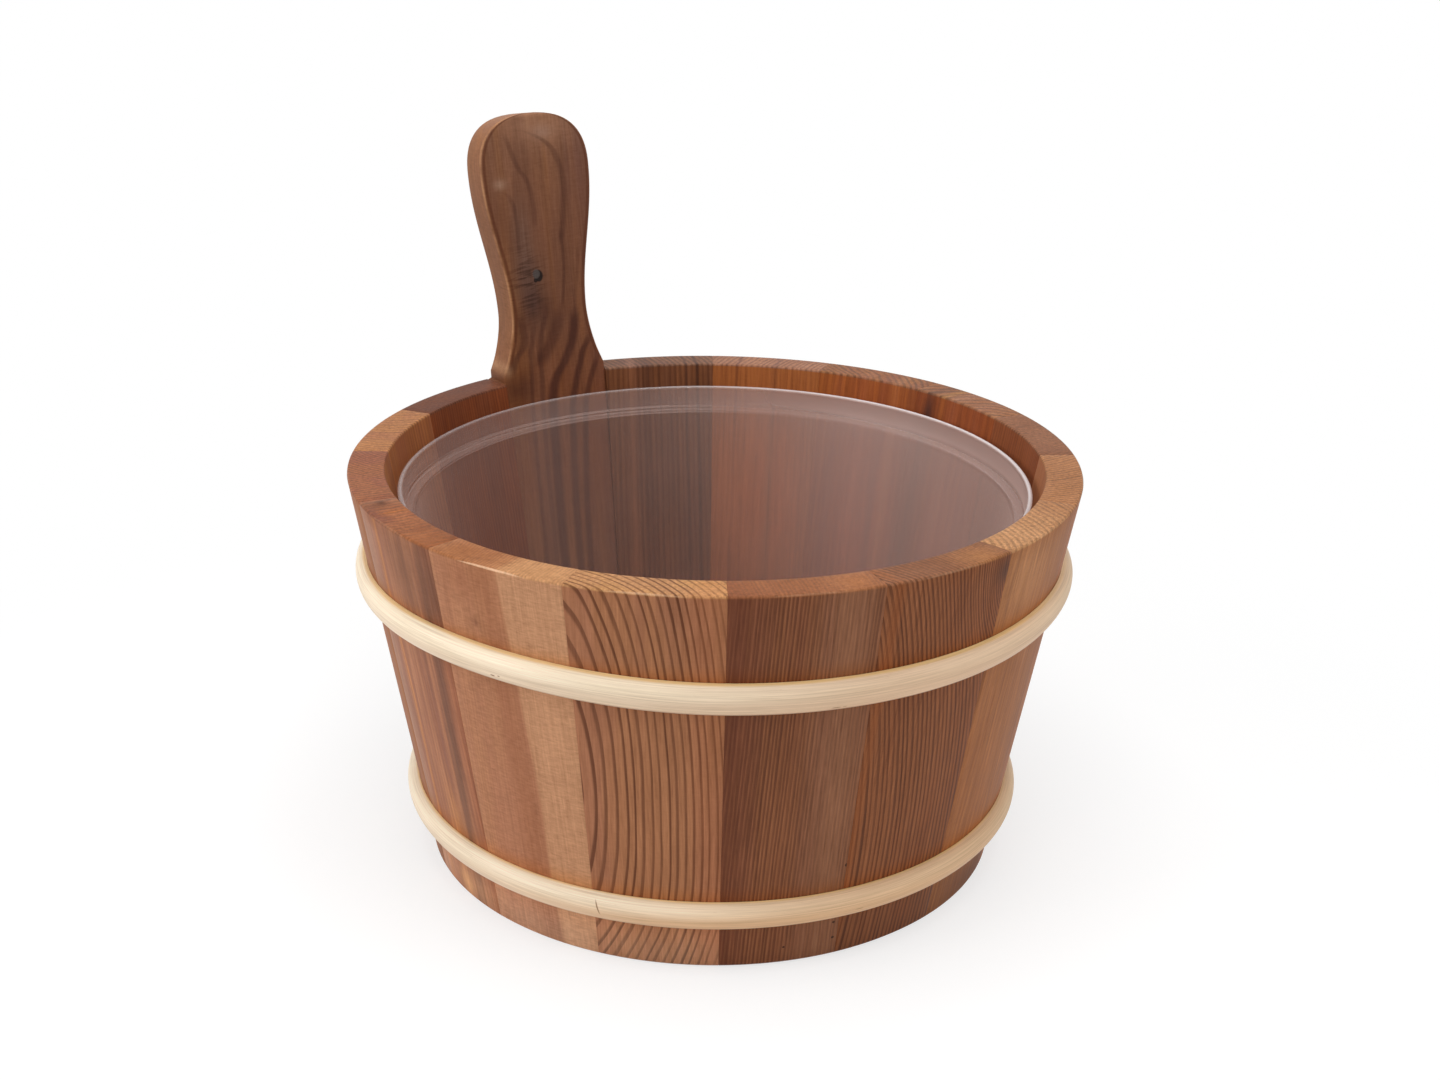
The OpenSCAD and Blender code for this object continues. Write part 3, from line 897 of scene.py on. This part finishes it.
def groove():
    """The groove that holds the bottom's edge, as its lower height, its upper height and its radius."""
    s = sizes()
    low, high = s.bottom_top - BOARD_EDGE, s.bottom_top + GROOVE_PLAY
    return low, high, wall(s.bottom_top - BOARD_EDGE / 2) - s.stave_thickness + GROOVE_DEPTH


def stave_profile():
    """Section of a stave as a loop of (radius, height), anticlockwise from the upper edge of its groove."""
    t, top = sizes().stave_thickness, sizes().height
    tilt, cosine = math.degrees(lean()), math.cos(lean())
    low, high, groove_r = groove()
    rise = np.linspace(FOOT_CHAMFER, top - RIM_ROUND, 25)
    outside = np.stack([wall(rise), rise], 1)
    rim = arc((wall(top - RIM_ROUND) - RIM_ROUND / cosine, top - RIM_ROUND), RIM_ROUND, -tilt, 90)
    level = np.linspace(rim[-1, 0], wall(top) - t + RIM_INNER_ROUND, 5)[1:-1]
    rim_flat = np.stack([level, np.full(3, top)], 1)
    turn_in = (wall(top - RIM_INNER_ROUND) - t + RIM_INNER_ROUND / cosine, top - RIM_INNER_ROUND)
    inner = arc(turn_in, RIM_INNER_ROUND, 90, 180 - tilt)
    fall = np.linspace(top - RIM_INNER_ROUND, high, 18)[1:]
    inside = np.stack([wall(fall) - t, fall], 1)
    foot = np.array([
        [groove_r, high],
        [groove_r, low],
        [wall(low) - t, low],
        [wall(FOOT_CHAMFER) - t, FOOT_CHAMFER],
        [wall(0.0) - t + FOOT_CHAMFER, 0.0],
        [wall(0.0) - FOOT_CHAMFER, 0.0],
    ])
    return np.concatenate([foot, outside, rim[1:], rim_flat, inner, inside])


def stave_points(i):
    """Grid of a stave's points: its section carried round the pail's axis from one joint to the next.

    The last 0.3 mm at each joint falls away by 0.12 mm, which eases the edges as sanding does.
    """
    ease, fall = 0.3 * MM, 0.12 * MM
    profile = stave_profile()
    inward = profile_inward(profile)
    start, end = math.radians(seam_angle(i)), math.radians(seam_angle(i + 1))
    edge = ease / sizes().rim_radius
    middle = np.linspace(start + edge, end - edge, 13)
    turn = np.concatenate([[start, start + edge / 2], middle, [end - edge / 2, end]])
    drop = np.zeros(len(turn))
    drop[[0, -1]] = fall
    drop[[1, -2]] = fall / 4
    section = profile[None] + inward[None] * drop[:, None, None]
    radius, height = section[..., 0], section[..., 1]
    return np.stack([radius * np.cos(turn)[:, None], radius * np.sin(turn)[:, None], height], -1)


def profile_inward(profile):
    """Unit directions into a closed anticlockwise loop, at each of its points."""
    along = np.roll(profile, -1, 0) - np.roll(profile, 1, 0)
    along /= np.linalg.norm(along, axis=1, keepdims=True)
    return np.stack([-along[:, 1], along[:, 0]], 1)


def closed_grid(points):
    """Faces of a grid whose rows are loops, with both ends closed by one face each."""
    rows, columns = points.shape[:2]
    first = np.arange(columns)
    last = first[::-1] + (rows - 1) * columns
    return skin(rows, columns)[:, [0, 3, 2, 1]].tolist() + [first.tolist(), last.tolist()]


class PAIL_OT_staves(bpy.types.Operator):
    """Build the fifteen plain staves"""

    bl_idname = "pail.staves"
    bl_label = "Staves"

    def execute(self, context):
        for i in range(1, STAVE_COUNT):
            name = f"stave_{i:02d}"
            points = stave_points(i)
            add_piece(name + "_wood", points, closed_grid(points), stave_wood(name, stave_turn(i)), name)
        return {"FINISHED"}


def handle_flare(s):
    """1 where the handle is as wide as its stave, up to a little above the rim, and 0 from the grip on."""
    return np.clip((GRIP_AT - s) / (GRIP_AT - ROOT_RISE), 0, 1) ** 1.8


def handle_half_width(s, root_half):
    """Half the handle's width at a distance above the rim: a flare at the root, then a swell to the paddle.

    The swell is half a wave of a cosine, and the top a quarter of a superellipse with exponent 2.5.
    """
    z = sizes()
    grip, paddle = z.grip_width / 2, z.paddle_width / 2
    flare = grip + (root_half - grip) * handle_flare(s)
    swell = grip + (paddle - grip) * (1 - np.cos(np.pi * (s - GRIP_AT) / (PADDLE_AT - GRIP_AT))) / 2
    top = np.clip((s - PADDLE_AT) / (z.handle_length - PADDLE_AT), 0, 1)
    end = paddle * (1 - top**2.5) ** (1 / 2.5)
    return np.where(s < GRIP_AT, flare, np.where(s < PADDLE_AT, swell, end))


def handle_section(half_in, half_out, near, far, corner, height, tip=0.0, side=0.0):
    """One loop of points (x, y, z) round the handle: the inner face from +X to -X, then the outer face back.

    near is the inner face's y, and far gives the outer face's y at an x. The corners are quarter circles.
    tip lowers the section by that much for each unit of y, and side moves it towards +X.
    """
    k = np.linspace(0, np.pi / 2, 6)
    c = min(corner, 0.45 * half_in)
    across = np.linspace(1, -1, 13)[1:-1] * (half_in - c)
    back_across = np.linspace(-1, 1, 15)[1:-1] * (half_out - c)
    sag = far(half_out - c)
    flat_loop = np.concatenate([
        np.stack([half_in - c + c * np.cos(k), near + c - c * np.sin(k)], 1),
        np.stack([across, np.full(len(across), near)], 1),
        np.stack([c - half_in - c * np.sin(k), near + c - c * np.cos(k)], 1),
        np.stack([c - half_out - c * np.cos(k), sag - c + c * np.sin(k)], 1),
        np.stack([back_across, far(back_across)], 1),
        np.stack([half_out - c + c * np.sin(k), sag - c + c * np.cos(k)], 1),
    ])
    depth = flat_loop[:, 1] - near
    return np.stack([flat_loop[:, 0] + side, flat_loop[:, 1], height - depth * tip], 1)


def handle_points():
    """Grid of the handle's stave: a loop of points round its section, carried from the foot to the top.

    Below the rim the sides lie on the joints. Above it the width follows handle_half_width, the corners
    grow round, and the section tips until it is square to the leaning stave.
    """
    z = sizes()
    half_angle = math.pi / STAVE_COUNT
    # The flat inner face lies midway between the round inner wall and the chord between its joints
    flat = (z.rim_radius - z.stave_thickness) * (1 + math.cos(half_angle)) / 2
    slope = math.tan(lean())
    low, high, groove_r = groove()

    def inner(height):
        return flat + slope * (height - z.height)

    def outer(radius, draw=0.0):
        return lambda x: np.sqrt(radius * radius - x * x) - draw

    def wedge(height, near, shrink=0.0):
        r = wall(height) - shrink
        halves = near * math.tan(half_angle), r * math.sin(half_angle)
        return handle_section(*halves, near, outer(r), 0.15 * MM, height)

    loops = [
        wedge(0.0, inner(0.0) + FOOT_CHAMFER, FOOT_CHAMFER),
        wedge(FOOT_CHAMFER, inner(FOOT_CHAMFER)),
        wedge(low, inner(low)),
        wedge(low, groove_r),
        wedge(high, groove_r),
        wedge(high, inner(high)),
    ]
    loops += [wedge(height, inner(height)) for height in np.linspace(high, z.height - 0.9 * MM, 16)[1:]]
    root_half = flat * math.tan(half_angle) - ROOT_INSET
    rise = np.concatenate([
        np.linspace(0, GRIP_AT, 19),
        np.linspace(GRIP_AT, PADDLE_AT, 23)[1:],
        PADDLE_AT + (z.handle_length - PADDLE_AT) * np.sin(np.radians(np.linspace(5, 90, 18))),
    ])
    rise[-1] = z.handle_length - 0.02 * MM
    for s in rise:
        height = z.height + s * math.cos(lean())
        half = float(handle_half_width(s, root_half))
        corner = ROOT_ROUND + (HANDLE_ROUND - ROOT_ROUND) * min(1.0, s / FULL_ROUND_AT)
        # Near the top both faces draw together in a quarter circle
        end = max(0.0, corner - (z.handle_length - s))
        draw = corner - math.sqrt(max(corner**2 - end**2, 0.0))
        near, far = inner(height) + draw, outer(wall(height), draw)
        tip = slope * min(1.0, s / GRIP_AT)
        side = HANDLE_SHIFT * (1 - float(handle_flare(s)))
        loops.append(handle_section(half, half, near, far, corner, height, tip, side))
    return np.array(loops)


def edge_map(points):
    """UV map of the handle: u is the way round the section from the nearer edge of the inner face, and v the
    height. u is above 0 on that face and below 0 elsewhere.

    Points 0 to 5 and 17 to 22 of a loop are the two corners, and the face is between them.
    """
    gap = np.linalg.norm(np.roll(points, -1, 1) - points, axis=2)
    way = np.cumsum(gap, 1) - gap
    girth = gap.sum(1, keepdims=True)
    corners = (way[:, 2:3] + way[:, 3:4]) / 2, (way[:, 19:20] + way[:, 20:21]) / 2
    off = [np.abs((way - c + girth / 2) % girth - girth / 2) for c in corners]
    on_face = (way > corners[0]) & (way < corners[1])
    u = np.minimum(*off) * np.where(on_face, 1, -1)
    return np.stack([u, points[..., 2]], -1)


class PAIL_OT_handle(bpy.types.Operator):
    """Build the stave that carries the handle"""

    bl_idname = "pail.handle"
    bl_label = "Handle stave"

    def execute(self, context):
        points = handle_points()
        add_piece("handle_stave_wood", points, closed_grid(points), stave_wood("handle_stave", 90.0),
                  "handle_stave", uv=edge_map(points), uv_name="section")
        return {"FINISHED"}


class PAIL_OT_bottom(bpy.types.Operator):
    """Give the three bottom boards their wood"""

    bl_idname = "pail.bottom"
    bl_label = "Bottom boards"

    def execute(self, context):
        for side in ("left", "middle", "right"):
            name = "bottom_board_" + side
            dress(frame["nodes"][name], bottom_wood(name))
        return {"FINISHED"}


def dress(piece, material):
    """Give a carried-over node one material."""
    piece.data.materials.clear()
    piece.data.materials.append(material)


def hoop_points(height, cane, rise, seed):
    """Grid of a hoop and its UV map: half an ellipse on the leaning wall, carried round from end to end.

    Both ends are cut on one slant behind the handle, so the turn at which a point starts depends on its
    height in the section. The cane's depth wavers by a few hundredths, as a sum of slow sines round the
    pail. It sits a little high where rise says so: (direction, spread, how much) adds a bell to its height.
    The direction and the spread are in degrees.
    """
    z = sizes()
    play, gap, joint = 0.1 * MM, 0.3 * MM, 30 * MM  # off the staves, between the ends, along the slant
    half, out = cane / 2, z.hoop_depth
    # 25 points up the round face, and 5 back down the flat one
    around = np.radians([*np.linspace(-90, 90, 25), 60, 30, 0, -30, -60])
    bulge = np.concatenate([np.cos(around[:25]) ** 0.92, np.zeros(5)])
    up = np.sin(around) * half
    r = wall(height)
    shift = -up * (joint / (2 * half)) / r
    margin = gap / 2 / r
    share = np.linspace(0, 1, 361)
    turn = math.pi / 2 + shift[None] + margin + share[:, None] * (2 * math.pi - 2 * margin)
    rng = np.random.default_rng(seed)
    waver = np.zeros_like(turn)
    for k in range(2, 9):
        waver += rng.normal() / k * np.sin(k * turn + rng.uniform(0, 6.28))
    lump = 1 + 0.02 * waver
    lift = play + bulge[None] * out * lump
    slid = up[None] + np.zeros_like(turn)
    for at, spread, much in rise:
        slid += much * np.exp(-(((np.degrees(turn) - at) / spread) ** 2))
    radius = r + lift * math.cos(lean()) + slid * math.sin(lean())
    level = height - lift * math.sin(lean()) + slid * math.cos(lean())
    points = np.stack([radius * np.cos(turn), radius * np.sin(turn), level], -1)
    girth = np.concatenate([[0], np.cumsum(np.hypot(np.diff(bulge * out), np.diff(up)))])
    uv = np.stack([turn * r, np.broadcast_to(girth[None], turn.shape)], -1)
    return points, uv


class PAIL_OT_hoops(bpy.types.Operator):
    """Build the two cane hoops"""

    bl_idname = "pail.hoops"
    bl_label = "Cane hoops"

    def execute(self, context):
        # The cane of the lower hoop is a little slimmer than the frame's, and sits a little higher
        z = sizes()
        upper = (z.height - UPPER_DROP, z.hoop_height, ((200, 28, 2.3 * MM), (310, 20, 1.0 * MM)), 3)
        lower = (LOWER_AT + 0.15 * MM, z.hoop_height - 0.9 * MM, (), 8)
        for name, (height, cane, rise, seed) in (("upper_hoop", upper), ("lower_hoop", lower)):
            points, uv = hoop_points(height, cane, rise, seed)
            material = cane_skin(name, height)
            add_piece(name + "_cane", points, closed_grid(points), material, name, sharp=50.0, uv=uv)
        return {"FINISHED"}


def liner_profile():
    """Section of the liner as an open line of (radius, height): down the outside, and back up the inside."""
    z = sizes()
    t = z.liner_wall
    floor = z.bottom_top + 0.1 * MM  # just off the bottom boards, so that the two faces don't coincide
    gap, collar_gap = 6 * MM, 2.8 * MM  # from the staves to the wall, and to the collar above the ledge
    corner, lip, bend = 8 * MM, 0.9 * MM, 0.5 * MM  # radii of the lower edge, the lip's bead and the bends
    top = z.height - LINER_DROP
    ledge = top - 8.5 * MM
    tilt = math.degrees(lean())

    def body(h):
        return wall(h) - z.stave_thickness - gap

    def collar(h):
        return wall(h) - z.stave_thickness - collar_gap

    c = (body(floor + corner) - corner / math.cos(lean()), floor + corner)
    low = arc(c, corner, -90, -tilt, 13)
    low_in = arc(c, corner - t, -tilt, -90, 13)
    rise = np.linspace(floor + corner, ledge - t - bend, 14)[1:]
    wall_out = np.stack([body(rise), rise], 1)
    under = arc((body(ledge - t - bend) + bend, ledge - t - bend), bend, 180, 90, 5)[1:]
    edge = arc((collar(ledge - t + bend) - bend, ledge - t + bend), bend, -90, -tilt, 5)
    tube = (collar(top - lip) - t / 2, top - lip)
    bead = arc(tube, lip, -40, 220, 17)
    shelf = arc((collar(ledge + bend) - t - bend, ledge + bend), bend, -tilt, -90, 5)
    step_in = arc((body(ledge - bend) - t + bend, ledge - bend), bend, 90, 180, 5)
    fall = np.linspace(ledge - bend, floor + corner, 14)[1:-1]
    wall_in = np.stack([body(fall) - t, fall], 1)
    flat = c[0] * np.array([0.0, 0.33, 0.66])
    start = np.stack([flat, np.full(3, floor)], 1)
    end = np.stack([flat[::-1], np.full(3, floor + t)], 1)
    return np.concatenate([start, low, wall_out, under, edge, bead, shelf, step_in, wall_in, low_in, end])


class PAIL_OT_liner(bpy.types.Operator):
    """Build the loose plastic liner"""

    bl_idname = "pail.liner"
    bl_label = "Liner"

    def execute(self, context):
        profile = liner_profile()
        turn = np.linspace(0, 2 * math.pi, 192, endpoint=False)
        rows, columns = len(profile) - 2, len(turn)
        radius, height = profile[1:-1, 0, None], np.repeat(profile[1:-1, 1, None], columns, 1)
        rings = np.stack([radius * np.cos(turn), radius * np.sin(turn), height], -1)
        poles = [[0, 0, profile[0, 1]], [0, 0, profile[-1, 1]]]
        # The first and the last ring are closed by triangles round a pole
        k = np.arange(columns)
        after, last = (k + 1) % columns, (rows - 1) * columns
        under = np.full(columns, rows * columns)
        over = under + 1
        fans = np.stack([under, after, k], 1).tolist() + np.stack([over, last + k, last + after], 1).tolist()
        add_piece("liner_shell", np.concatenate([rings.reshape(-1, 3), poles]),
                  skin(rows, columns).tolist() + fans, liner_plastic(), "plastic_liner", sharp=60.0)
        return {"FINISHED"}


class PAIL_OT_brads(bpy.types.Operator):
    """Give the brads their steel"""

    bl_idname = "pail.brads"
    bl_label = "Brads"

    def execute(self, context):
        dress(frame["nodes"]["hoop_brads"], brad_steel())
        return {"FINISHED"}


# Studio


def add_camera():
    """Camera that looks at a point near the pail's axis, as the photograph was taken."""
    s = stage()
    turn = Matrix.Rotation(s.view_azimuth, 4, "Z")
    e = s.view_elevation
    right = np.array([1, 0, 0])
    up = np.array([0, math.sin(e), math.cos(e)])
    back = np.array([0, -math.cos(e), math.sin(e)])
    c, d = math.cos(s.view_roll), math.sin(s.view_roll)
    right, up = right * c + up * d, up * c - right * d
    place = np.array([s.target_side, 0, s.target_height]) + s.view_distance * back
    pose = Matrix.Identity(4)
    for column, axis in enumerate((right, up, back, place)):
        for row in range(3):
            pose[row][column] = axis[row]
    data = bpy.data.cameras.new("photo_camera")
    data.lens = s.lens
    data.sensor_width = 36.0
    data.clip_start = 0.01
    camera = bpy.data.objects.new("photo_camera", data)
    camera.matrix_world = turn @ pose
    bpy.context.scene.collection.objects.link(camera)
    bpy.context.scene.camera = camera


def add_lamp(name, power, size, azimuth, elevation, distance, target_height=0.1):
    """A square softbox that faces the pail, in degrees round it from the camera's side and above level."""
    a = math.degrees(stage().view_azimuth) - 90 + azimuth
    a, e = math.radians(a), math.radians(elevation)
    back = np.array([math.cos(a) * math.cos(e), math.sin(a) * math.cos(e), math.sin(e)])
    data = bpy.data.lights.new(name, "AREA")
    data.shape = "SQUARE"
    data.size = size
    data.energy = power
    lamp = bpy.data.objects.new(name, data)
    lamp.location = back * distance + np.array([0, 0, target_height])
    lamp.rotation_mode = "QUATERNION"
    lamp.rotation_quaternion = Vector(back).to_track_quat("Z", "Y")
    bpy.context.scene.collection.objects.link(lamp)


def seen_directly(g):
    """1 for camera, glossy and transmission rays, which see a plain white room."""
    seen = 0.0
    for ray in ("Is Camera Ray", "Is Glossy Ray", "Is Transmission Ray"):
        seen = g.math("MAXIMUM", seen, g.node("ShaderNodeLightPath", out=ray))
    return seen


def floor_material():
    """White paper: plain matt for the light, and for the eye a white that still takes the pail's shadow."""
    g = Graph("white_paper")
    x, y, z = g.place()
    far = g.math("SQRT", x * x + y * y)
    clear = g.step(far, 160.0, 400.0)
    matt = g.node("ShaderNodeBsdfDiffuse", None, {"Color": (0.90, 0.90, 0.90)})
    shade = g.node("ShaderNodeBsdfDiffuse", None, {"Color": (0.36, 0.36, 0.36)})
    glow = g.node("ShaderNodeEmission", None, {"Color": (1.0, 1.0, 1.0), "Strength": 0.69})
    white = g.node("ShaderNodeEmission", None, {"Color": (1.0, 1.0, 1.0), "Strength": 1.0})
    near = g.node("ShaderNodeAddShader", None, {0: shade, 1: glow})
    seen = g.node("ShaderNodeMixShader", None, {0: clear, 1: near, 2: white})
    both = g.node("ShaderNodeMixShader", None, {0: seen_directly(g), 1: matt, 2: seen})
    g.node("ShaderNodeOutputMaterial", None, {"Surface": both})
    return g.owner


def white_room():
    """The world is white to look at and lights the pail only softly."""
    g = Graph("white_room", bpy.data.worlds)
    bpy.context.scene.world = g.owner
    range_inputs = {"Value": seen_directly(g), "To Min": stage().world_light, "To Max": 1.0}
    level = g.node("ShaderNodeMapRange", None, range_inputs)
    light = g.node("ShaderNodeBackground", None, {"Color": (1.0, 1.0, 1.0), "Strength": level})
    g.node("ShaderNodeOutputWorld", None, {"Surface": light})


class PAIL_OT_stage(bpy.types.Operator):
    """Set up the camera, the floor, the lamps and the white room"""

    bl_idname = "pail.stage"
    bl_label = "Studio"

    def execute(self, context):
        radius, count = 3.0, 96
        turn = np.linspace(0, 2 * math.pi, count, endpoint=False)
        rim = np.stack([radius * np.cos(turn), radius * np.sin(turn), np.zeros(count)], 1)
        mesh = bpy.data.meshes.new("floor")
        mesh.from_pydata(rim.tolist(), [], [list(range(count))])
        mesh.materials.append(floor_material())
        floor = bpy.data.objects.new("floor", mesh)
        bpy.context.scene.collection.objects.link(floor)
        white_room()
        s = stage()
        add_lamp("top_softbox", s.top_power, size=0.9, azimuth=20, elevation=84, distance=1.1)
        add_lamp("left_softbox", s.left_power, size=0.8, azimuth=-72, elevation=24, distance=1.1)
        add_lamp("right_softbox", s.right_power, size=0.8, azimuth=62, elevation=32, distance=1.1)
        add_lamp("front_softbox", s.front_power, size=0.8, azimuth=-10, elevation=40, distance=1.2)
        add_camera()
        context.scene.view_settings.view_transform = "Standard"
        return {"FINISHED"}


class PAIL_PT_panel(bpy.types.Panel):
    """Sidebar panel with the settings and the pieces in building order"""

    bl_label = "Sauna pail"
    bl_idname = "PAIL_PT_panel"
    bl_space_type = "VIEW_3D"
    bl_region_type = "UI"
    bl_category = "Pail"

    def draw(self, context):
        for group in (context.scene.pail_sizes, context.scene.pail_finish, context.scene.pail_stage):
            box = self.layout.box()
            for key in group.__annotations__:
                box.prop(group, key)
        for operator in OPERATORS:
            self.layout.operator(operator.bl_idname)


OPERATORS = (
    PAIL_OT_stage,
    PAIL_OT_staves,
    PAIL_OT_handle,
    PAIL_OT_bottom,
    PAIL_OT_hoops,
    PAIL_OT_brads,
    PAIL_OT_liner,
)
CLASSES = (PailSizes, PailFinish, PailStage, *OPERATORS, PAIL_PT_panel)


def register():
    for cls in CLASSES:
        bpy.utils.register_class(cls)
    bpy.types.Scene.pail_sizes = bpy.props.PointerProperty(type=PailSizes)
    bpy.types.Scene.pail_finish = bpy.props.PointerProperty(type=PailFinish)
    bpy.types.Scene.pail_stage = bpy.props.PointerProperty(type=PailStage)


def unregister():
    del bpy.types.Scene.pail_stage
    del bpy.types.Scene.pail_finish
    del bpy.types.Scene.pail_sizes
    for cls in reversed(CLASSES):
        bpy.utils.unregister_class(cls)


def main():
    register()
    for operator in OPERATORS:
        name = operator.bl_idname.split(".")[1]
        getattr(bpy.ops.pail, name)()


if __name__ == "__main__":
    main()
